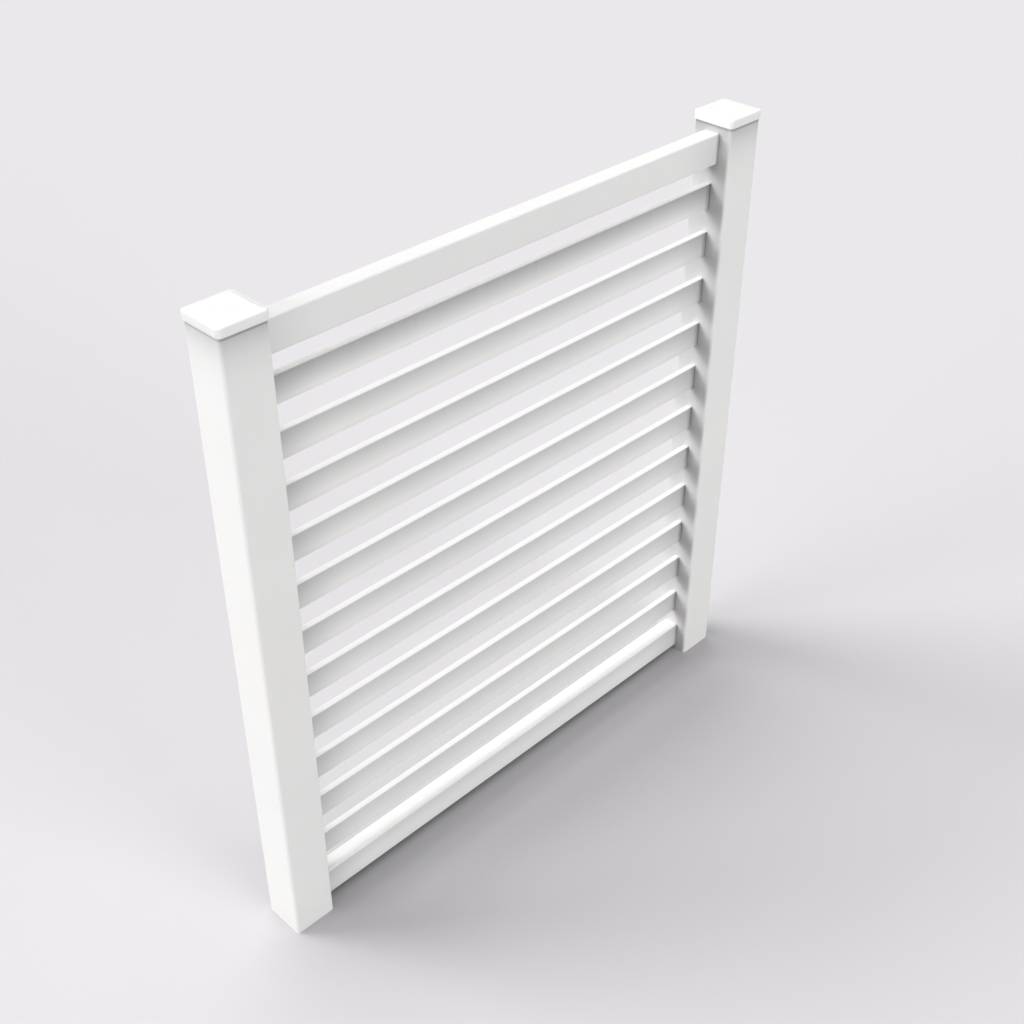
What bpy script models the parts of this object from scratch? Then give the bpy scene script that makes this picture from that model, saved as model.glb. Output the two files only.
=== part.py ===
"""Horizontal picket fence section in white vinyl.

Two hollow square posts with flat caps carry a top rail, a bottom rail and a row of
flat horizontal pickets. The facing sides of the posts are routed: every rail and picket
runs through a pocket into the hollow of its post. A metal channel lies inside each rail,
and a lock ring on each rail end keeps the rail from pulling out of the post.

Metres, Z up. X runs along the fence, Y across it, and the front faces -Y.
The origin lies on the ground, midway between the posts.
"""

import bmesh
import bpy
from mathutils import Vector

# Layout of the section
clear_opening = 1.552
ground_clearance = 0.0178
picket_count = 11
picket_gap = 0.0692
rail_gap = 0.059

# Posts
post_width = 0.127
post_wall = 0.0038
post_corner_radius = 0.008
post_head_above_rail = 0.041

# Post caps
cap_wall = 0.0036
cap_skirt_depth = 0.0205
cap_corner_radius = 0.0115
cap_edge_radius = 0.003
cap_crown_rise = 0.003
cap_crown_corner_radius = 0.0015

# Rails
rail_height = 0.0889
rail_depth = 0.0508
rail_wall = 0.0023
rail_corner_radius = 0.005
rail_reach = 0.030

# Pickets
picket_height = 0.0762
picket_depth = 0.0191
picket_wall = 0.0015
picket_corner_radius = 0.002
picket_reach = 0.020

# Metal channel in each rail
channel_height = 0.060
channel_sheet = 0.0015
channel_bend_radius = 0.003
channel_setback = 0.004

# Lock ring on each rail end
ring_wall = 0.0025
ring_length = 0.012
lug_length = 0.005
lug_height = 0.010
lug_below_rail_top = 0.013

# Clearances
pocket_clearance = 0.0004
seat_clearance = 0.0003
cutter_overrun = 0.002

# Facets of the rounded edges
post_corner_facets = 4
cap_corner_facets = 4
cap_edge_facets = 2
rail_corner_facets = 3
picket_corner_facets = 2
channel_bend_facets = 2

# Shape of a rounded edge between a chamfer and a square corner; this one is round
round_profile_share = 0.5

# A face looks along an axis when this share of its unit normal lies on that axis
facing_share = 0.5

# A face is flat, and not a facet of a rounding, when this share of its normal lies on one axis
flat_share = 0.999

# Heights and lengths that follow from the sizes above
picket_pitch = picket_height + picket_gap
bottom_rail_middle = ground_clearance + rail_height / 2
first_picket_middle = ground_clearance + rail_height + rail_gap + picket_height / 2
last_picket_middle = first_picket_middle + (picket_count - 1) * picket_pitch
top_rail_middle = last_picket_middle + picket_height / 2 + rail_gap + rail_height / 2
post_height = top_rail_middle + rail_height / 2 + post_head_above_rail
post_middle = (clear_opening + post_width) / 2
routed_wall_inner_face = clear_opening / 2 + post_wall
rail_length = 2 * (routed_wall_inner_face + rail_reach)
picket_length = 2 * (routed_wall_inner_face + picket_reach)
channel_length = rail_length - 2 * channel_setback

along_fence = Vector((1, 0, 0))
upward = Vector((0, 0, 1))


def clear_scene():
    """Start with no objects."""
    for old in list(bpy.data.objects):
        bpy.data.objects.remove(old, do_unlink=True)


def make_collection(name):
    """A collection linked to the scene."""
    collection = bpy.data.collections.new(name)
    bpy.context.scene.collection.children.link(collection)
    return collection


def make_material(name, colour, roughness, metallic):
    """One surface with its colour, roughness and metallic value."""
    material = bpy.data.materials.new(name)
    material.use_nodes = True
    material.diffuse_color = (*colour, 1.0)
    surface = material.node_tree.nodes["Principled BSDF"]
    surface.inputs["Base Color"].default_value = (*colour, 1.0)
    surface.inputs["Roughness"].default_value = roughness
    surface.inputs["Metallic"].default_value = metallic
    return material


def post_vinyl():
    return make_material("post_vinyl", (0.86, 0.86, 0.85), 0.42, 0.0)


def cap_vinyl():
    return make_material("cap_vinyl", (0.89, 0.89, 0.88), 0.36, 0.0)


def rail_vinyl():
    return make_material("rail_vinyl", (0.87, 0.87, 0.86), 0.42, 0.0)


def picket_vinyl():
    return make_material("picket_vinyl", (0.85, 0.85, 0.84), 0.44, 0.0)


def channel_metal():
    return make_material("channel_metal", (0.60, 0.61, 0.62), 0.38, 1.0)


def ring_plastic():
    return make_material("ring_plastic", (0.70, 0.70, 0.68), 0.50, 0.0)


def add_block(shape, size):
    """Add a box centred on the origin and give its corners."""
    cube = bmesh.ops.create_cube(shape, size=1.0)
    corners = cube["verts"]
    bmesh.ops.scale(shape, vec=Vector(size), verts=corners)
    return corners


def round_edges(shape, edges, radius, facets):
    """Round edges with a number of facets."""
    bmesh.ops.bevel(
        shape,
        geom=edges,
        offset=radius,
        offset_type="OFFSET",
        segments=facets,
        profile=round_profile_share,
        affect="EDGES",
    )


def add_bar(shape, size, along, radius, facets):
    """Add a box whose four edges along one axis are rounded, centred on the origin."""
    long_edges = []
    for corner in add_block(shape, size):
        for edge in corner.link_edges:
            run = edge.verts[0].co - edge.verts[1].co
            if abs(run.dot(along)) > 0 and edge not in long_edges:
                long_edges.append(edge)
    round_edges(shape, long_edges, radius, facets)


def faces_along(shape, axis):
    """The faces that look along an axis, either way."""
    shape.normal_update()
    return [face for face in shape.faces if abs(face.normal.dot(axis)) > facing_share]


def finish_mesh(shape, name):
    """Turn the worked shape into a mesh: faces pointing out, roundings smooth, rims sharp."""
    bmesh.ops.recalc_face_normals(shape, faces=shape.faces)
    for face in shape.faces:
        face.smooth = max(abs(part) for part in face.normal) < flat_share
    for edge in shape.edges:
        edge.smooth = not edge.is_boundary
    mesh = bpy.data.meshes.new(name)
    shape.to_mesh(mesh)
    shape.free()
    return mesh


def bar_mesh(name, size, along, radius, facets):
    """A solid bar with rounded long edges."""
    shape = bmesh.new()
    add_bar(shape, size, along, radius, facets)
    return finish_mesh(shape, name)


def sleeve_mesh(name, size, along, radius, facets):
    """The skin of a bar with both ends open; Solidify gives it its wall."""
    shape = bmesh.new()
    add_bar(shape, size, along, radius, facets)
    bmesh.ops.delete(shape, geom=faces_along(shape, along), context="FACES")
    return finish_mesh(shape, name)


def bars_mesh(name, bars):
    """Solid bars along X in one mesh, each given by its height, size, rounding and facets."""
    shape = bmesh.new()
    for height, size, radius, facets in bars:
        first_new = len(shape.verts)
        add_bar(shape, size, along_fence, radius, facets)
        shape.verts.ensure_lookup_table()
        bmesh.ops.translate(shape, vec=Vector((0, 0, height)), verts=shape.verts[first_new:])
    return finish_mesh(shape, name)


def blocks_mesh(name, middles, size):
    """Equal square-edged blocks in one mesh."""
    shape = bmesh.new()
    for middle in middles:
        bmesh.ops.translate(shape, vec=Vector(middle), verts=add_block(shape, size))
    return finish_mesh(shape, name)


def add_piece(name, mesh, location, material):
    """Place a mesh as a named piece of the fence."""
    piece = bpy.data.objects.new(name, mesh)
    fence.objects.link(piece)
    piece.location = location
    piece.parent = anchor
    if not mesh.materials:
        mesh.materials.append(material)
    return piece


def add_cutter(name, mesh, location):
    """Place a mesh as a cutting or joining guide that isn't part of the fence."""
    cutter = bpy.data.objects.new(name, mesh)
    cutters.objects.link(cutter)
    cutter.location = location
    cutter.hide_render = True
    cutter.display_type = "WIRE"
    return cutter


def give_wall(target, thickness):
    """Thicken a skin inward."""
    wall = target.modifiers.new("wall", "SOLIDIFY")
    wall.thickness = thickness
    wall.offset = -1
    wall.use_even_offset = True


def combine(target, cutter, operation):
    """Cut a guide out of an object, or join it on."""
    boolean = target.modifiers.new(cutter.name, "BOOLEAN")
    boolean.operation = operation
    boolean.solver = "EXACT"
    boolean.object = cutter


def picket_middles():
    """Heights of the pickets' middles, from the lowest up."""
    return [first_picket_middle + count * picket_pitch for count in range(picket_count)]


def pocket_bars():
    """Height, size, rounding and facets of the pocket of each rail and picket."""
    length = post_wall + 2 * cutter_overrun
    rail_size = (length, rail_depth + 2 * pocket_clearance, rail_height + 2 * pocket_clearance)
    rail_radius = rail_corner_radius + pocket_clearance
    picket_size = (length, picket_depth + 2 * pocket_clearance, picket_height + 2 * pocket_clearance)
    picket_radius = picket_corner_radius + pocket_clearance
    bars = []
    for height in (bottom_rail_middle, top_rail_middle):
        bars.append((height, rail_size, rail_radius, rail_corner_facets))
    for height in picket_middles():
        bars.append((height, picket_size, picket_radius, picket_corner_facets))
    return bars


def build_posts():
    """Square tubes on the ground, routed on the sides that face each other."""
    size = (post_width, post_width, post_height)
    skin = sleeve_mesh("post", size, upward, post_corner_radius, post_corner_facets)
    pockets = bars_mesh("post_pockets", pocket_bars())
    vinyl = post_vinyl()
    for side, name in ((-1, "post_left"), (1, "post_right")):
        post = add_piece(name, skin, (side * post_middle, 0, post_height / 2), vinyl)
        give_wall(post, post_wall)
        routed_wall_middle = side * (clear_opening / 2 + post_wall / 2)
        combine(post, add_cutter(name + "_pockets", pockets, (routed_wall_middle, 0, 0)), "DIFFERENCE")


def cap_body_mesh(width, height):
    """The outer form of a cap: a rounded block with a low flat crown, its foot at zero height."""
    shape = bmesh.new()
    add_bar(shape, (width, width, height), upward, cap_corner_radius, cap_corner_facets)
    bmesh.ops.translate(shape, vec=Vector((0, 0, height / 2)), verts=shape.verts)
    crown = [face for face in faces_along(shape, upward) if face.normal.z > 0]
    bmesh.ops.inset_individual(
        shape,
        faces=crown,
        thickness=cap_corner_radius - cap_crown_corner_radius,
        depth=cap_crown_rise,
        use_even_offset=True,
    )
    level = [face for face in faces_along(shape, upward) if face.normal.z > 0]
    rim = [edge for edge in shape.edges if sum(face in level for face in edge.link_faces) == 1]
    round_edges(shape, rim, cap_edge_radius, cap_edge_facets)
    return finish_mesh(shape, "post_cap")


def build_caps():
    """Flat caps with a skirt that slips over the post head."""
    hollow_width = post_width + 2 * seat_clearance
    cap_width = hollow_width + 2 * cap_wall
    body = cap_body_mesh(cap_width, cap_skirt_depth + cap_wall)
    hollow_size = (hollow_width, hollow_width, cap_skirt_depth + cutter_overrun)
    hollow_radius = post_corner_radius + seat_clearance
    hollow = bar_mesh("cap_hollow", hollow_size, upward, hollow_radius, post_corner_facets)
    vinyl = cap_vinyl()
    foot = post_height + seat_clearance - cap_skirt_depth
    hollow_middle = foot + (cap_skirt_depth - cutter_overrun) / 2
    for side, name in ((-1, "post_cap_left"), (1, "post_cap_right")):
        cap = add_piece(name, body, (side * post_middle, 0, foot), vinyl)
        guide = add_cutter(name + "_hollow", hollow, (side * post_middle, 0, hollow_middle))
        combine(cap, guide, "DIFFERENCE")


def lug_middle():
    """Height of the ring's lugs above the middle of the rail."""
    return rail_height / 2 - lug_below_rail_top


def ring_middle():
    """Distance of a ring from the middle of the fence, close against the routed wall."""
    return routed_wall_inner_face + seat_clearance + ring_length / 2


def build_rails():
    """Hollow bars between the posts, slotted near their ends for the lock rings."""
    size = (rail_length, rail_depth, rail_height)
    skin = sleeve_mesh("rail", size, along_fence, rail_corner_radius, rail_corner_facets)
    slot_size = (
        lug_length + 2 * seat_clearance,
        rail_depth + 2 * cutter_overrun,
        lug_height + 2 * seat_clearance,
    )
    slot_middles = [(side * ring_middle(), 0, lug_middle()) for side in (-1, 1)]
    slots = blocks_mesh("rail_slots", slot_middles, slot_size)
    vinyl = rail_vinyl()
    for level, rail_middle in (("bottom", bottom_rail_middle), ("top", top_rail_middle)):
        rail = add_piece(level + "_rail", skin, (0, 0, rail_middle), vinyl)
        give_wall(rail, rail_wall)
        combine(rail, add_cutter(level + "_rail_slots", slots, (0, 0, rail_middle)), "DIFFERENCE")


def channel_mesh(width):
    """The skin of a channel: a box without its top and ends, its two folds rounded."""
    shape = bmesh.new()
    add_block(shape, (channel_length, width, channel_height))
    open_sides = faces_along(shape, along_fence)
    open_sides += [face for face in faces_along(shape, upward) if face.normal.z > 0]
    bmesh.ops.delete(shape, geom=open_sides, context="FACES")
    folds = [edge for edge in shape.edges if edge.is_manifold]
    round_edges(shape, folds, channel_bend_radius, channel_bend_facets)
    return finish_mesh(shape, "rail_channel")


def build_channels():
    """Folded metal channels that lie on the floor of each rail and open upward."""
    width = rail_depth - 2 * rail_wall - 2 * seat_clearance
    skin = channel_mesh(width)
    metal = channel_metal()
    rise = rail_wall + seat_clearance + (channel_height - rail_height) / 2
    for level, rail_middle in (("bottom", bottom_rail_middle), ("top", top_rail_middle)):
        channel = add_piece(level + "_rail_channel", skin, (0, 0, rail_middle + rise), metal)
        give_wall(channel, channel_sheet)


def build_lock_rings():
    """Collars round the rail ends, with a lug on each side that sits in the rail's slot."""
    width = rail_depth + 2 * seat_clearance + 2 * ring_wall
    height = rail_height + 2 * seat_clearance + 2 * ring_wall
    radius = rail_corner_radius + seat_clearance + ring_wall
    size = (ring_length, width, height)
    skin = sleeve_mesh("lock_ring", size, along_fence, radius, rail_corner_facets)
    lug_depth = rail_wall + seat_clearance + ring_wall / 2
    lug_offset = rail_depth / 2 - rail_wall + lug_depth / 2
    lug_size = (lug_length, lug_depth, lug_height)
    lugs = blocks_mesh("ring_lugs", [(0, side * lug_offset, lug_middle()) for side in (-1, 1)], lug_size)
    plastic = ring_plastic()
    for level, rail_middle in (("bottom", bottom_rail_middle), ("top", top_rail_middle)):
        for end, side in (("left", -1), ("right", 1)):
            name = level + "_lock_ring_" + end
            place = (side * ring_middle(), 0, rail_middle)
            ring = add_piece(name, skin, place, plastic)
            give_wall(ring, ring_wall)
            combine(ring, add_cutter(name + "_lugs", lugs, place), "UNION")


def build_pickets():
    """Flat hollow bars, evenly spaced from the bottom rail to the top rail."""
    size = (picket_length, picket_depth, picket_height)
    skin = sleeve_mesh("picket", size, along_fence, picket_corner_radius, picket_corner_facets)
    vinyl = picket_vinyl()
    for count, height in enumerate(picket_middles()):
        picket = add_piece("picket_%02d" % (count + 1), skin, (0, 0, height), vinyl)
        give_wall(picket, picket_wall)


clear_scene()
fence = make_collection("picket_fence")
cutters = make_collection("cutters")
anchor = bpy.data.objects.new("fence_anchor", None)
fence.objects.link(anchor)
build_posts()
build_caps()
build_rails()
build_channels()
build_lock_rings()
build_pickets()
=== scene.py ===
"""The horizontal picket fence, finished and lit.

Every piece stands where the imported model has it. Posts, rails, pickets and caps are remade
with finer roundings and eased rims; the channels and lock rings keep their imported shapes.
X runs along the fence, Z up, and the front faces -Y. Sizes are in metres.
"""

import math

import bmesh
import bpy
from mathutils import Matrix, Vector


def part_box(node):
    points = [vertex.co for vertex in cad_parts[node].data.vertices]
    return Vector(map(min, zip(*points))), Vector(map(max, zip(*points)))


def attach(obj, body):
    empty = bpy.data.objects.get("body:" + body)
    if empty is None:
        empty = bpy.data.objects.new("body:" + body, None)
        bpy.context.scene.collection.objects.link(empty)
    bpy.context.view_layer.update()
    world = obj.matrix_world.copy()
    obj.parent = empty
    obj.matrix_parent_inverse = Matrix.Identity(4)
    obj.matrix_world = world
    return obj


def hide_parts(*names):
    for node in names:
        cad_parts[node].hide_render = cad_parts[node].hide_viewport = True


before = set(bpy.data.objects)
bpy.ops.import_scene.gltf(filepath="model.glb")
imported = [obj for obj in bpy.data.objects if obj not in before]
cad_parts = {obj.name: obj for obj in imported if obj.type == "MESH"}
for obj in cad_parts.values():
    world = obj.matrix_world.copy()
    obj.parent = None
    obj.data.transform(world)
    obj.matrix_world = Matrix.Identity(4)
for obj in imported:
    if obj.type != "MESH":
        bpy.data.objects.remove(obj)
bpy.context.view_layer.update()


# The posts
# Two square tubes of white vinyl, each extruded in one length and sawn square. They stand on
# their sawn ends. The side that faces the other post is routed with a pocket for each rail
# and picket, and the router leaves the pockets' rims slightly eased.

along_fence = Vector((1, 0, 0))
upward = Vector((0, 0, 1))
post_colour = (0.883, 0.876, 0.869, 1.0)
post_wall = 0.0038
post_corner_radius = 0.008
post_corner_facets = 10
pocket_play = 0.0004
eased_rim = 0.0003
rail_corner_radius = 0.005
picket_corner_radius = 0.002
rail_pocket_facets = 6
picket_pocket_facets = 5
picket_nodes = sorted(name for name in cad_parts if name.startswith("picket_"))


def rounded_bar(size, along, radius, facets):
    """A block centred on the origin whose long edges are rounded."""
    shape = bmesh.new()
    corners = bmesh.ops.create_cube(shape, size=1)["verts"]
    bmesh.ops.scale(shape, vec=size, verts=corners)
    long_edges = [
        edge for edge in shape.edges
        if abs((edge.verts[0].co - edge.verts[1].co).dot(along)) > 0
    ]
    bmesh.ops.bevel(
        shape, geom=long_edges, offset=radius, offset_type="OFFSET",
        segments=facets, profile=0.5, affect="EDGES",
    )
    shape.normal_update()
    return shape


def open_ends(shape, along):
    """Take the two end faces off a bar."""
    ends = [face for face in shape.faces if abs(face.normal.dot(along)) > 0.9]
    bmesh.ops.delete(shape, geom=ends, context="FACES")
    return shape


def new_piece(name, shape, place):
    """Turn a worked shape into an object at its place."""
    bmesh.ops.recalc_face_normals(shape, faces=shape.faces)
    mesh = bpy.data.meshes.new(name)
    shape.to_mesh(mesh)
    shape.free()
    mesh.shade_smooth()
    piece = bpy.data.objects.new(name, mesh)
    bpy.context.scene.collection.objects.link(piece)
    piece.location = place
    return piece


def give_wall(piece, thickness):
    """Thicken an open skin inward."""
    wall = piece.modifiers.new("wall", "SOLIDIFY")
    wall.thickness = thickness
    wall.offset = -1
    wall.use_even_offset = True


def cut_out(piece, cutters):
    """Cut shapes out of a piece, settle the result in its mesh and drop the cutters."""
    for cutter in cutters:
        cut = piece.modifiers.new("cut", "BOOLEAN")
        cut.operation = "DIFFERENCE"
        cut.solver = "EXACT"
        cut.object = cutter
    graph = bpy.context.evaluated_depsgraph_get()
    settled = bpy.data.meshes.new_from_object(piece.evaluated_get(graph), depsgraph=graph)
    piece.modifiers.clear()
    piece.data = settled
    settled.shade_smooth()
    for cutter in cutters:
        bpy.data.objects.remove(cutter)


def shade_by_flat_faces(piece):
    """Let the flat faces lead the shading of the roundings beside them."""
    shading = piece.modifiers.new("shading", "WEIGHTED_NORMAL")
    shading.weight = 60


def ease_rims(piece, width):
    """Round the sharp rims a little."""
    rims = piece.modifiers.new("rims", "BEVEL")
    rims.limit_method = "ANGLE"
    rims.angle_limit = math.radians(50)
    rims.width = width
    rims.segments = 2
    shade_by_flat_faces(piece)


def middle_and_size(node):
    """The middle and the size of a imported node."""
    lowest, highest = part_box(node)
    return (lowest + highest) / 2, highest - lowest


def finish_piece(piece, material, slot, *nodes):
    """Give a piece its material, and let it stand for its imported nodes."""
    piece.data.materials.clear()
    piece.data.materials.append(material)
    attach(piece, "root")
    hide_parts(*nodes)


def place_node(tree, kind, inputs, **settings):
    """Add a node with its settings, and feed its inputs with values or other nodes' outputs."""
    node = tree.nodes.new(kind)
    for setting, value in settings.items():
        setattr(node, setting, value)
    for socket, source in inputs.items():
        if isinstance(source, bpy.types.NodeSocket):
            tree.links.new(source, node.inputs[socket])
        else:
            node.inputs[socket].default_value = source
    return node


def calculate(tree, operation, first, second):
    """One sum of two values."""
    return place_node(tree, "ShaderNodeMath", {0: first, 1: second}, operation=operation).outputs[0]


def remap(tree, value, start, end, new_start, new_end, curve="LINEAR"):
    """Turn one range of a value into another, and stop at its ends."""
    node = place_node(tree, "ShaderNodeMapRange", {
        "Value": value, "From Min": start, "From Max": end, "To Min": new_start, "To Max": new_end,
    }, interpolation_type=curve)
    return node.outputs["Result"]


def clouds(tree, place, scale, detail, roughness):
    """Soft random variation over the surface."""
    node = place_node(tree, "ShaderNodeTexNoise", {
        "Vector": place, "Scale": scale, "Detail": detail, "Roughness": roughness})
    return node.outputs["Fac"]


def stretch(tree, place, amounts):
    """Positions scaled by a different amount each way."""
    node = place_node(tree, "ShaderNodeVectorMath", {0: place, 1: amounts}, operation="MULTIPLY")
    return node.outputs["Vector"]


def split(tree, vector):
    """The three parts of a vector."""
    return place_node(tree, "ShaderNodeSeparateXYZ", {0: vector}).outputs


def tint(tree, share, first, second, blend="MIX"):
    """Mix two colours."""
    node = place_node(
        tree, "ShaderNodeMix", {0: share, 6: first, 7: second}, data_type="RGBA", blend_type=blend)
    return node.outputs[2]


def grey(tree, value):
    """A colour with the same value in each channel."""
    return place_node(
        tree, "ShaderNodeCombineColor", {"Red": value, "Green": value, "Blue": value}).outputs[0]


def new_group(name, inputs, outputs):
    """An empty shader group, with what it is given and the node that gathers its results."""
    group = bpy.data.node_groups.new(name, "ShaderNodeTree")
    for label, kind in inputs.items():
        group.interface.new_socket(label, in_out="INPUT", socket_type="NodeSocket" + kind)
    for label, kind in outputs.items():
        group.interface.new_socket(label, in_out="OUTPUT", socket_type="NodeSocket" + kind)
    given = group.nodes.new("NodeGroupInput").outputs
    return group, given, group.nodes.new("NodeGroupOutput")


def make_vinyl_skin():
    """White vinyl: die lines or mould grain, uneven tone, rubbed edges, dust and splashed soil.

    Run stretches the die lines along the bar, Lines sets how strongly they show, Soil sets how
    dirty the foot is, and the dust setting how dusty the upper faces are. Turned up, the dust
    layer also serves as painted shade on an upper face.
    """
    group, given, result = new_group(
        "vinyl_skin",
        {"Colour": "Color", "Roughness": "Float", "Run": "Vector", "Lines": "Float",
         "Soil": "Float", "Dust And Shade": "Float"},
        {"Colour": "Color", "Roughness": "Float", "Height": "Float"},
    )
    surface = group.nodes.new("ShaderNodeNewGeometry").outputs
    place = surface["Position"]
    facing = split(group, surface["Normal"])
    lines = clouds(group, stretch(group, place, given["Run"]), 1.0, 3.0, 0.55)
    grain = clouds(group, place, 850.0, 2.0, 0.6)
    tone = clouds(group, place, 3.1, 4.0, 0.55)

    # A rounding looks away from all three main directions, and a flat face doesn't
    turned = split(group, place_node(
        group, "ShaderNodeVectorMath", {0: surface["Normal"]}, operation="ABSOLUTE").outputs["Vector"])
    flatness = calculate(group, "MAXIMUM", turned["X"], turned["Y"])
    flatness = calculate(group, "MAXIMUM", flatness, turned["Z"])
    edge = remap(group, flatness, 0.995, 0.80, 0.0, 1.0)

    # Splashed soil thins out a hand's width above the ground and breaks up into spots
    low = remap(group, split(group, place)["Z"], 0.0, 0.16, 1.0, 0.0, "SMOOTHERSTEP")
    spots = remap(group, clouds(group, place, 46.0, 6.0, 0.7), 0.42, 0.66, 0.12, 1.0)
    soil = calculate(group, "MULTIPLY", calculate(group, "MULTIPLY", low, spots), given["Soil"])

    # Thin dust drifts on the faces that look up; where it is turned up, this layer is painted shade
    ledge = remap(group, facing["Z"], 0.7, 0.98, 0.0, 1.0)
    drift = remap(group, clouds(group, place, 17.0, 5.0, 0.6), 0.35, 0.7, 0.0, 1.0)
    dust_and_shade = calculate(group, "MULTIPLY", calculate(group, "MULTIPLY", ledge, drift), given["Dust And Shade"])

    # Short faint scuffs where things have brushed past
    scuffed = stretch(group, place, (14.0, 60.0, 95.0))
    scuffs = remap(group, clouds(group, scuffed, 1.0, 5.0, 0.65), 0.64, 0.72, 0.0, 1.0)

    shade = remap(group, tone, 0.3, 0.7, 0.985, 1.01)
    die_shade = remap(group, lines, 0.3, 0.7, 0.993, 1.005)
    shade = calculate(group, "MULTIPLY", shade, die_shade)
    shade = calculate(group, "ADD", shade, calculate(group, "MULTIPLY", edge, 0.012))
    shade = calculate(group, "SUBTRACT", shade, calculate(group, "MULTIPLY", scuffs, 0.012))
    colour = tint(group, 1.0, given["Colour"], grey(group, shade), "MULTIPLY")
    warmer = remap(group, clouds(group, place, 1.3, 2.0, 0.5), 0.4, 0.7, 0.0, 0.05)
    colour = tint(group, warmer, colour, (0.80, 0.77, 0.70, 1.0))
    colour = tint(group, dust_and_shade, colour, (0.62, 0.60, 0.56, 1.0))
    colour = tint(group, soil, colour, (0.36, 0.33, 0.28, 1.0))

    roughness = calculate(group, "ADD", given["Roughness"], remap(group, tone, 0.3, 0.7, -0.05, 0.05))
    roughness = calculate(group, "ADD", roughness, remap(group, lines, 0.3, 0.7, -0.03, 0.03))
    roughness = calculate(group, "ADD", roughness, calculate(group, "MULTIPLY", scuffs, 0.14))
    roughness = calculate(group, "ADD", roughness, calculate(group, "MULTIPLY", dust_and_shade, 0.9))
    roughness = calculate(group, "ADD", roughness, calculate(group, "MULTIPLY", soil, 0.5))
    roughness = calculate(group, "SUBTRACT", roughness, calculate(group, "MULTIPLY", edge, 0.06))

    height = calculate(group, "MULTIPLY", lines, given["Lines"])
    height = calculate(group, "ADD", height, calculate(group, "MULTIPLY", grain, 0.10))
    height = calculate(group, "SUBTRACT", height, calculate(group, "MULTIPLY", scuffs, 0.08))
    height = calculate(group, "ADD", height, calculate(group, "MULTIPLY", soil, 0.5))

    group.links.new(colour, result.inputs["Colour"])
    group.links.new(roughness, result.inputs["Roughness"])
    group.links.new(height, result.inputs["Height"])
    return group


def make_painted_edge_shade():
    """Painted shade that runs down the sides of a piece from its top edge.

    Below is the depth under the edge and Reach how far the painted shade runs. It is strongest
    just under the edge and weaker near the ground. Fade bends its falling off, Ends sets its share
    on the faces that look along the fence, Line is a painted dark shadow line right under an edge
    that overhangs, and the last input is painted shade on a bar where it meets a post.
    """
    group, given, result = new_group(
        "painted_edge_shade",
        {"Below": "Float", "Reach": "Float", "Strength": "Float", "Fade": "Float", "Ends": "Float",
         "Line": "Float", "Shade Beside Posts": "Float"},
        {"Painted Shade": "Float"},
    )
    surface = group.nodes.new("ShaderNodeNewGeometry").outputs
    place = surface["Position"]
    facing = split(group, surface["Normal"])
    fade = remap(group, calculate(group, "DIVIDE", given["Below"], given["Reach"]), 0.0, 1.0, 1.0, 0.0)
    fade = calculate(group, "POWER", fade, given["Fade"])
    fade = calculate(group, "MULTIPLY", fade, remap(group, given["Below"], 0.0008, 0.004, 0.35, 1.0))
    front = calculate(group, "MULTIPLY", facing["Y"], facing["Y"])
    ends = calculate(group, "MULTIPLY", facing["X"], facing["X"])
    sides = calculate(group, "ADD", front, calculate(group, "MULTIPLY", ends, given["Ends"]))
    unevenness = remap(group, clouds(group, stretch(group, place, (70.0, 70.0, 3.0)), 1.0, 3.0, 0.5),
                    0.3, 0.7, 0.97, 1.03)
    by_height = remap(group, split(group, place)["Z"], 0.2, 1.5, 0.46, 1.0)
    strength = calculate(group, "MULTIPLY", given["Strength"], by_height)
    shade_layer = calculate(group, "MULTIPLY", calculate(group, "MULTIPLY", fade, strength), unevenness)
    # A painted dark shadow line right under an overhanging edge
    right_below = remap(group, given["Below"], 0.0075, 0.0105, 1.0, 0.0)
    shade_layer = calculate(group, "MAXIMUM", shade_layer, calculate(group, "MULTIPLY", given["Line"], right_below))
    # Painted shade on a bar near a post
    shade_width = 0.22
    sideways = calculate(group, "ABSOLUTE", split(group, place)["X"], 0.0)
    beside = remap(group, sideways, inner_face_x - shade_width, inner_face_x, 0.0, 1.0)
    beside = calculate(group, "MULTIPLY", calculate(group, "POWER", beside, 2.3), given["Shade Beside Posts"])
    clean = calculate(group, "SUBTRACT", 1.0, shade_layer)
    shade_layer = calculate(group, "ADD", shade_layer, calculate(group, "MULTIPLY", beside, clean))
    shade_layer = calculate(group, "MULTIPLY", shade_layer, sides)
    group.links.new(shade_layer, result.inputs["Painted Shade"])
    return group


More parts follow.
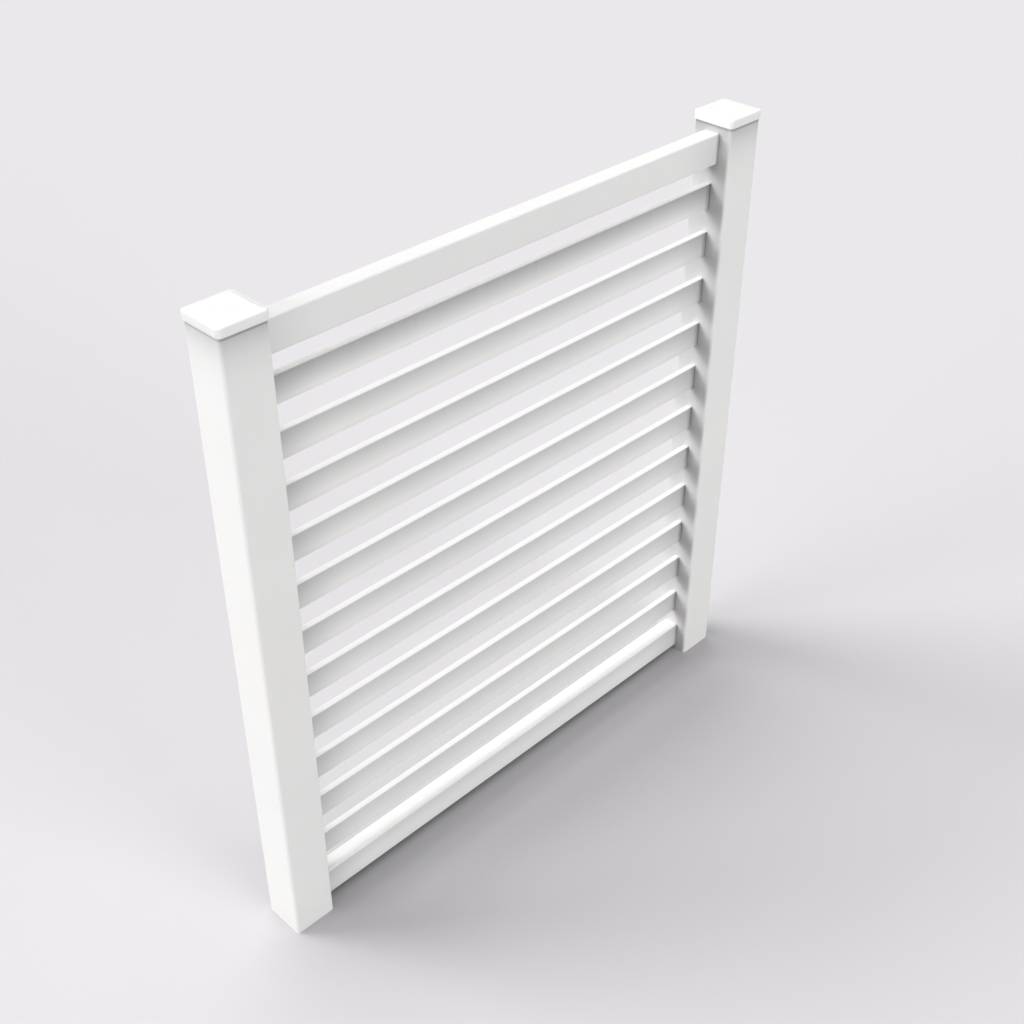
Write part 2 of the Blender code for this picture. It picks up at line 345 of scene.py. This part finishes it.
def make_painted_routed_face_shade():
    """Painted shade on the post faces that the bars run into.

    It is darkest halfway between two bars and a little darker behind them, and thins out
    towards the post's front corner.
    """
    group, given, result = new_group("painted_routed_face_shade", {"Strength": "Float"}, {"Painted Shade": "Float"})
    surface = group.nodes.new("ShaderNodeNewGeometry").outputs
    place = split(group, surface["Position"])
    lowest_picket, next_picket = (middle_and_size(node)[0].z for node in picket_nodes[:2])
    turn = calculate(group, "SUBTRACT", place["Z"], lowest_picket)
    turn = calculate(group, "MULTIPLY", turn, 2 * math.pi / (next_picket - lowest_picket))
    wave = remap(group, calculate(group, "COSINE", turn, 0.0), -1.0, 1.0, 1.25, 0.75)
    corner = remap(group, place["Y"], -0.063, -0.050, 0.0, 1.0, "SMOOTHSTEP")
    sideways = calculate(group, "ABSOLUTE", place["X"], 0.0)
    routed = remap(group, sideways, inner_face_x + 0.003, inner_face_x + 0.009, 1.0, 0.0)
    depth = remap(group, place["Y"], -0.02, 0.02, 1.0, 1.15, "SMOOTHSTEP")
    mottle = remap(group, clouds(group, surface["Position"], 22.0, 4.0, 0.55), 0.3, 0.7, 0.92, 1.08)
    shade_layer = calculate(group, "MULTIPLY", given["Strength"], calculate(group, "MULTIPLY", wave, depth))
    shade_layer = calculate(group, "MULTIPLY", shade_layer, calculate(group, "MULTIPLY", corner, routed))
    shade_layer = calculate(group, "MULTIPLY", shade_layer, mottle)
    group.links.new(shade_layer, result.inputs["Painted Shade"])
    return group


def vinyl_material(name, colour, roughness, run, lines, soil, dust_and_shade, top_edge=0.0, painted_shades=(), routed_shade=0.0):
    """A vinyl finish, with painted shade under its top edge and on routed faces where it has them.

    The painted shade starts at the top edge, which is given as its height above the piece's middle.
    """
    material = bpy.data.materials.new(name)
    material.use_nodes = True
    tree = material.node_tree
    shader = tree.nodes["Principled BSDF"]
    skin = place_node(tree, "ShaderNodeGroup", {
        "Colour": colour, "Roughness": roughness, "Run": run, "Lines": lines, "Soil": soil, "Dust And Shade": dust_and_shade,
    }, node_tree=vinyl_skin)
    shown = skin.outputs["Colour"]
    # Painted shade: a near-black colour mixed in under the top edge and beside the posts
    for shade_layer in painted_shades:
        own_place = tree.nodes.new("ShaderNodeTexCoord").outputs["Object"]
        below = calculate(tree, "SUBTRACT", top_edge, split(tree, own_place)["Z"])
        edge_shading = place_node(tree, "ShaderNodeGroup", {"Below": below, **shade_layer}, node_tree=painted_edge_shade)
        shown = tint(tree, edge_shading.outputs["Painted Shade"], shown, painted_shade_colour)
    # Painted shade on the routed post faces
    if routed_shade:
        routed_shading = place_node(tree, "ShaderNodeGroup", {"Strength": routed_shade}, node_tree=painted_routed_face_shade)
        shown = tint(tree, routed_shading.outputs["Painted Shade"], shown, painted_shade_colour)
    relief = place_node(tree, "ShaderNodeBump", {
        "Height": skin.outputs["Height"], "Strength": 0.25, "Distance": 0.0004})
    tree.links.new(shown, shader.inputs["Base Color"])
    tree.links.new(skin.outputs["Roughness"], shader.inputs["Roughness"])
    tree.links.new(relief.outputs["Normal"], shader.inputs["Normal"])
    shader.inputs["IOR"].default_value = 1.53
    return material


inner_face_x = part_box("post_right")[0].x
cap_foot_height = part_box("post_cap_left")[0].z
painted_shade_colour = (0.02, 0.02, 0.03, 1.0)
# Painted shade under the cap: a dark shadow line right under the skirt, and a darkening that fades down
# the post
painted_shade_under_cap = {"Reach": 0.32, "Strength": 0.45, "Fade": 6.5, "Ends": 0.75, "Line": 0.64}
painted_shade_down_post = {"Reach": 1.80, "Strength": 0.05, "Fade": 1.0, "Ends": 0.45}
vinyl_skin = make_vinyl_skin()
painted_edge_shade = make_painted_edge_shade()
painted_routed_face_shade = make_painted_routed_face_shade()
post_vinyl = vinyl_material(
    "post_vinyl", post_colour, roughness=0.44, run=(330.0, 330.0, 1.1), lines=0.5, soil=0.03, dust_and_shade=0.08,
    top_edge=cap_foot_height - middle_and_size("post_left")[0].z, painted_shades=(painted_shade_under_cap, painted_shade_down_post),
    routed_shade=0.225)


def pocket_cutter(node, wall_x, radius, facets):
    """The routing bit's path for one rail or picket through the wall of a post."""
    middle, size = middle_and_size(node)
    cut_size = Vector((4 * post_wall, size.y + 2 * pocket_play, size.z + 2 * pocket_play))
    return new_piece(
        "pocket", rounded_bar(cut_size, along_fence, radius + pocket_play, facets),
        (wall_x, middle.y, middle.z))


for side, node, name in ((-1, "post_left", "left_post_tube"), (1, "post_right", "right_post_tube")):
    middle, size = middle_and_size(node)
    skin = open_ends(rounded_bar(size, upward, post_corner_radius, post_corner_facets), upward)
    tube = new_piece(name, skin, middle)
    give_wall(tube, post_wall)
    routed_wall_x = side * (inner_face_x + post_wall / 2)
    cut_out(tube, [
        pocket_cutter(bar, routed_wall_x, rail_corner_radius, rail_pocket_facets)
        for bar in ("bottom_rail", "top_rail")
    ] + [
        pocket_cutter(bar, routed_wall_x, picket_corner_radius, picket_pocket_facets)
        for bar in picket_nodes
    ])
    ease_rims(tube, eased_rim)
    finish_piece(tube, post_vinyl, "post_vinyl", node)


# The rail channels
# A folded metal channel lies on the floor of each rail and keeps it from sagging. It is
# rolled from coated sheet, so it has fine rolling lines, a mottled zinc bloom and bare
# brighter edges where it was sheared.

channel_colour = (0.60, 0.61, 0.63, 1.0)


def make_rolled_metal():
    """Coated sheet: rolling lines along the fence, zinc bloom and dull patches."""
    group, given, result = new_group(
        "rolled_metal", {"Colour": "Color"},
        {"Colour": "Color", "Roughness": "Float", "Height": "Float"})
    surface = group.nodes.new("ShaderNodeNewGeometry").outputs
    place = surface["Position"]
    rolling = clouds(group, stretch(group, place, (3.0, 900.0, 900.0)), 1.0, 3.0, 0.6)
    bloom = place_node(group, "ShaderNodeTexVoronoi", {"Vector": place, "Scale": 120.0})
    bloom = split(group, bloom.outputs["Color"])["X"]
    patches = clouds(group, place, 11.0, 5.0, 0.6)
    shade = remap(group, bloom, 0.0, 1.0, 0.90, 1.06)
    shade = calculate(group, "MULTIPLY", shade, remap(group, rolling, 0.3, 0.7, 0.95, 1.04))
    colour = tint(group, 1.0, given["Colour"], grey(group, shade), "MULTIPLY")
    dull = remap(group, patches, 0.5, 0.68, 0.0, 0.45)
    colour = tint(group, dull, colour, (0.44, 0.45, 0.46, 1.0))
    roughness = calculate(group, "ADD", remap(group, bloom, 0.0, 1.0, 0.30, 0.42),
                          calculate(group, "MULTIPLY", dull, 0.5))
    height = calculate(group, "ADD", calculate(group, "MULTIPLY", rolling, 0.6),
                       calculate(group, "MULTIPLY", bloom, 0.3))
    group.links.new(colour, result.inputs["Colour"])
    group.links.new(roughness, result.inputs["Roughness"])
    group.links.new(height, result.inputs["Height"])
    return group


def metal_material(name, colour):
    """Coated sheet steel."""
    material = bpy.data.materials.new(name)
    material.use_nodes = True
    tree = material.node_tree
    shader = tree.nodes["Principled BSDF"]
    rolled = place_node(tree, "ShaderNodeGroup", {"Colour": colour}, node_tree=rolled_metal)
    relief = place_node(tree, "ShaderNodeBump", {
        "Height": rolled.outputs["Height"], "Strength": 0.3, "Distance": 0.0003})
    tree.links.new(rolled.outputs["Colour"], shader.inputs["Base Color"])
    tree.links.new(rolled.outputs["Roughness"], shader.inputs["Roughness"])
    tree.links.new(relief.outputs["Normal"], shader.inputs["Normal"])
    shader.inputs["Metallic"].default_value = 1.0
    return material


def dress_packed_node(node, material):
    """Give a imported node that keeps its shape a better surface."""
    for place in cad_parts[node].material_slots:
        place.material = material


rolled_metal = make_rolled_metal()
channel_metal = metal_material("channel_metal", channel_colour)
for node in ("bottom_rail_channel", "top_rail_channel"):
    dress_packed_node(node, channel_metal)


# The rails
# Two tall hollow bars of white vinyl, extruded and sawn. Their ends run through the routed
# pockets into the posts, and near each end both sides have a slot for the lug of a lock ring.

# The two rails are one vinyl: the bottom rail's colour is painted lighter, to offset the shade it gets
# near the floor, and the top rail's a little darker
top_rail_colour = (0.854, 0.847, 0.842, 1.0)
bottom_rail_colour = (0.884, 0.877, 0.871, 1.0)
rail_wall = 0.0023
rail_corner_facets = 8
lug_length = 0.005
lug_height = 0.010
lug_below_rail_top = 0.013
slot_play = 0.0003
slot_corner_radius = 0.0005
slot_corner_facets = 3
eased_rail_end = 0.0002
across_fence = Vector((0, 1, 0))
rail_top_edge = middle_and_size("top_rail")[1].z / 2
# Painted shade under each rail's top edge and where it meets the posts
painted_shade_on_top_rail = {"Reach": 0.300, "Strength": 0.04, "Fade": 0.5, "Shade Beside Posts": 0.25}
painted_shade_on_bottom_rail = {"Reach": 0.052, "Strength": 0.36, "Fade": 1.0, "Shade Beside Posts": 0.36}

top_rail_vinyl = vinyl_material(
    "top_rail_vinyl", top_rail_colour, roughness=0.43, run=(1.1, 330.0, 330.0), lines=0.5, soil=0.0,
    dust_and_shade=0.08, top_edge=rail_top_edge, painted_shades=(painted_shade_on_top_rail,))
bottom_rail_vinyl = vinyl_material(
    "bottom_rail_vinyl", bottom_rail_colour, roughness=0.43, run=(1.1, 330.0, 330.0), lines=0.5,
    soil=0.02, dust_and_shade=0.08, top_edge=rail_top_edge, painted_shades=(painted_shade_on_bottom_rail,))


def lug_slot(rail_node, ring_node):
    """The slot through both sides of a rail where the lugs of a ring sit."""
    rail_middle, rail_size = middle_and_size(rail_node)
    ring_middle = middle_and_size(ring_node)[0]
    size = Vector((lug_length + 2 * slot_play, 2 * rail_size.y, lug_height + 2 * slot_play))
    height = rail_middle.z + rail_size.z / 2 - lug_below_rail_top
    shape = rounded_bar(size, across_fence, slot_corner_radius, slot_corner_facets)
    return new_piece("slot", shape, (ring_middle.x, 0, height))


for level, vinyl in (("bottom", bottom_rail_vinyl), ("top", top_rail_vinyl)):
    node = level + "_rail"
    middle, size = middle_and_size(node)
    skin = open_ends(rounded_bar(size, along_fence, rail_corner_radius, rail_corner_facets), along_fence)
    rail = new_piece(level + "_rail_bar", skin, middle)
    give_wall(rail, rail_wall)
    cut_out(rail, [lug_slot(node, level + "_lock_ring_" + end) for end in ("left", "right")])
    ease_rims(rail, eased_rail_end)
    finish_piece(rail, vinyl, "rail_vinyl", node)


# The lock rings
# A moulded plastic collar goes on each rail end inside the post. The lug on each of its
# sides snaps into the rail's slot, so the rail can't pull back out of its pocket.

ring_colour = (0.66, 0.66, 0.64, 1.0)
ring_plastic = vinyl_material(
    "ring_plastic", ring_colour, roughness=0.52, run=(160.0, 160.0, 160.0), lines=0.7, soil=0.25,
    dust_and_shade=0.05)
for node in sorted(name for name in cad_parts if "lock_ring" in name):
    dress_packed_node(node, ring_plastic)


# The pickets
# Eleven flat hollow bars of white vinyl, extruded thin and sawn to one length. They lie
# level between the rails, evenly spaced, and their ends sit loose in the routed pockets.

picket_colour = (0.866, 0.859, 0.853, 1.0)
picket_wall = 0.0015
picket_corner_facets = 6
eased_picket_end = 0.0002
picket_top_edge = middle_and_size(picket_nodes[0])[1].z / 2
# Painted shade under each picket's top edge and where it meets the posts
painted_shade_on_pickets = {"Reach": 0.060, "Strength": 0.380, "Fade": 1.05, "Shade Beside Posts": 0.44}
painted_shade_under_top_rail = {"Reach": 0.066, "Strength": 0.575, "Fade": 0.93, "Shade Beside Posts": 0.40}
picket_vinyl = vinyl_material(
    "picket_vinyl", picket_colour, roughness=0.45, run=(1.3, 390.0, 390.0), lines=0.5, soil=0.05,
    dust_and_shade=0.08, top_edge=picket_top_edge, painted_shades=(painted_shade_on_pickets,))
# The topmost picket has a shaded copy of the vinyl: stronger painted shade under its top edge, and its
# top painted darker through the dust layer, for the top rail's shade
shaded_picket_vinyl = vinyl_material(
    "shaded_picket_vinyl", picket_colour, roughness=0.45, run=(1.3, 390.0, 390.0), lines=0.5, soil=0.0,
    dust_and_shade=0.25, top_edge=picket_top_edge, painted_shades=(painted_shade_under_top_rail,))

for node in picket_nodes:
    middle, size = middle_and_size(node)
    shape = rounded_bar(size, along_fence, picket_corner_radius, picket_corner_facets)
    skin = open_ends(shape, along_fence)
    bar = new_piece(node.replace("picket", "picket_bar"), skin, middle)
    give_wall(bar, picket_wall)
    ease_rims(bar, eased_picket_end)
    vinyl = shaded_picket_vinyl if node == picket_nodes[-1] else picket_vinyl
    finish_piece(bar, vinyl, "picket_vinyl", node)


# The post caps
# Two flat caps, each moulded in one piece of slightly glossier vinyl: a skirt that slips
# over the post head, a narrow brim and a low level crown with soft edges. They are pushed
# on and hide the sawn post ends.

cap_colour = (0.876, 0.871, 0.864, 1.0)
cap_corner_radius = 0.0115
foot_rounding = 0.0005
brim_rounding = 0.0034
brim_facets = 5
brim_rise = 0.0008
step_start = 0.0075
step_end = 0.0165
step_rise = 0.0022
step_facets = 8
crown_corner_radius = 0.0065
cap_corner_facets = 10
cap_play = 0.0003
cap_vinyl = vinyl_material(
    "cap_vinyl", cap_colour, roughness=0.36, run=(150.0, 150.0, 150.0), lines=0.35, soil=0.0, dust_and_shade=0.08)


def cap_rings(half_width, height, hollow_half_width, hollow_depth):
    """Half width, corner radius and height of each outline, from the hollow round to the crown."""
    hollow_radius = post_corner_radius + cap_play
    brim_height = height - step_rise - brim_rise
    rings = [
        (hollow_half_width, hollow_radius, hollow_depth),
        (hollow_half_width, hollow_radius, foot_rounding),
        (hollow_half_width + foot_rounding, hollow_radius + foot_rounding, 0),
        (half_width - foot_rounding, cap_corner_radius - foot_rounding, 0),
    ]
    for turn in range(brim_facets + 1):
        angle = math.radians(90 * turn / brim_facets)
        inset = brim_rounding * (1 - math.cos(angle))
        rings.append((
            half_width - inset, cap_corner_radius - inset,
            brim_height - brim_rounding * (1 - math.sin(angle))))
    for part in range(step_facets + 1):
        share = part / step_facets
        inset = step_start + (step_end - step_start) * share
        rise = step_rise * share * share * (3 - 2 * share)
        radius = cap_corner_radius - brim_rounding
        radius += (crown_corner_radius - radius) * share
        rings.append((half_width - inset, radius, brim_height + brim_rise + rise))
    return rings


def outline(half_width, radius, height):
    """Points of a square with rounded corners at one height."""
    points = []
    for corner in range(4):
        for part in range(cap_corner_facets + 1):
            angle = math.radians(90 * (corner + part / cap_corner_facets))
            middle = math.radians(90 * corner + 45)
            reach = (half_width - radius) * math.sqrt(2)
            points.append(Vector((
                reach * math.cos(middle) + radius * math.cos(angle),
                reach * math.sin(middle) + radius * math.sin(angle),
                height)))
    return points


def loft(rings):
    """Join outlines of equal length into one closed shape."""
    shape = bmesh.new()
    rows = [[shape.verts.new(point) for point in outline(*ring)] for ring in rings]
    for lower, upper in zip(rows, rows[1:]):
        for here in range(len(lower)):
            there = (here + 1) % len(lower)
            shape.faces.new((lower[here], lower[there], upper[there], upper[here]))
    shape.faces.new(reversed(rows[0]))
    shape.faces.new(rows[-1])
    return shape


for post, node, name in (
        ("post_left", "post_cap_left", "left_cap_shell"),
        ("post_right", "post_cap_right", "right_cap_shell")):
    middle, size = middle_and_size(node)
    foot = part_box(node)[0].z
    hollow_half_width = middle_and_size(post)[1].x / 2 + cap_play
    hollow_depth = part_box(post)[1].z + cap_play - foot
    cap = new_piece(
        name, loft(cap_rings(size.x / 2, size.z, hollow_half_width, hollow_depth)),
        (middle.x, middle.y, foot))
    shade_by_flat_faces(cap)
    finish_piece(cap, cap_vinyl, "cap_vinyl", node)


# The floor
# A plain pale floor, wide enough to fill the view. It takes the fence's soft shadow, and its
# colour has a painted shade that deepens where the fence stands close. It gives back less
# light than it shows, so that the fence keeps its own shading.

floor_colour = (0.700, 0.687, 0.707, 1.0)
floor_returned_colour = (0.08, 0.08, 0.08, 1.0)
painted_shade_reach = 0.55
painted_shade_darkest = 0.63
floor_half_width = 60


def seen_directly(tree):
    """1 for rays from the camera, off gloss or through glass, and 0 for all others."""
    ray = tree.nodes.new("ShaderNodeLightPath").outputs
    seen = calculate(tree, "MAXIMUM", ray["Is Camera Ray"], ray["Is Glossy Ray"])
    return calculate(tree, "MAXIMUM", seen, ray["Is Transmission Ray"])


floor_shape = bmesh.new()
bmesh.ops.create_grid(floor_shape, x_segments=1, y_segments=1, size=floor_half_width)
floor = new_piece("studio_floor", floor_shape, (0, 0, 0))
floor_paint = bpy.data.materials.new("floor_paint")
floor_paint.use_nodes = True
floor_tree = floor_paint.node_tree
floor_shader = floor_tree.nodes["Principled BSDF"]
# Painted shade: the floor's colour darkens near the fence, by how much of its surroundings the fence
# hides
painted_contact_shade = place_node(floor_tree, "ShaderNodeAmbientOcclusion", {"Distance": painted_shade_reach}, samples=8)
shade = remap(floor_tree, painted_contact_shade.outputs["AO"], 0.0, 1.0, painted_shade_darkest, 1.0)
shown = tint(floor_tree, 1.0, floor_colour, grey(floor_tree, shade), "MULTIPLY")
shown = tint(floor_tree, seen_directly(floor_tree), floor_returned_colour, shown)
floor_tree.links.new(shown, floor_shader.inputs["Base Color"])
floor_shader.inputs["Roughness"].default_value = 0.9
floor_shader.inputs["Specular IOR Level"].default_value = 0.0
floor.data.materials.append(floor_paint)


# The lights
# Six wide soft lamps, far off: a key from behind on the left, low fills from the left and the
# front, and three from above. Their light is the same along the whole fence. The surroundings
# look as pale as the floor and add only a trace of light.

lamp_distance = 6
surroundings_colour = (0.845, 0.830, 0.853, 1.0)
surroundings_light = 0.06

# Each lamp's direction round and above the ground in degrees, its power and its spread
lamps = {
    "key": (125, 39, 1.58, 30),
    "left_fill": (170, 10, 2.63, 34),
    "front_fill": (279, 8, 2.86, 36),
    "above_left": (120, 64, 0.54, 36),
    "above_right": (60, 64, 0.91, 36),
    "above_front": (240, 64, 0.34, 36),
}
for name, (around, above, power, spread) in lamps.items():
    around, above = math.radians(around), math.radians(above)
    level = math.cos(above)
    toward = Vector((level * math.cos(around), level * math.sin(around), math.sin(above)))
    light = bpy.data.lights.new(name, "SUN")
    light.energy = power
    light.angle = math.radians(spread)
    lamp = bpy.data.objects.new(name, light)
    bpy.context.scene.collection.objects.link(lamp)
    lamp.location = toward * lamp_distance
    lamp.rotation_euler = (-toward).to_track_quat("-Z", "Y").to_euler()

surroundings = bpy.data.worlds.new("surroundings")
bpy.context.scene.world = surroundings
surroundings.use_nodes = True
sky = surroundings.node_tree
backdrop = sky.nodes["Background"]
backdrop.inputs["Color"].default_value = surroundings_colour
strength = remap(sky, seen_directly(sky), 0.0, 1.0, surroundings_light, 1.0)
sky.links.new(strength, backdrop.inputs["Strength"])


# The camera
# It looks down on the fence from the front left corner, as in the photograph.

lens = bpy.data.cameras.new("view_from_front_left")
lens.lens = 50
lens.sensor_width = 36
camera = bpy.data.objects.new("view_from_front_left", lens)
bpy.context.scene.collection.objects.link(camera)
camera.location = (-2.286, -2.286, 3.240)
camera.rotation_euler = Vector((1, 1, -1)).to_track_quat("-Z", "Y").to_euler()
bpy.context.scene.camera = camera
bpy.context.scene.view_settings.view_transform = "Standard"
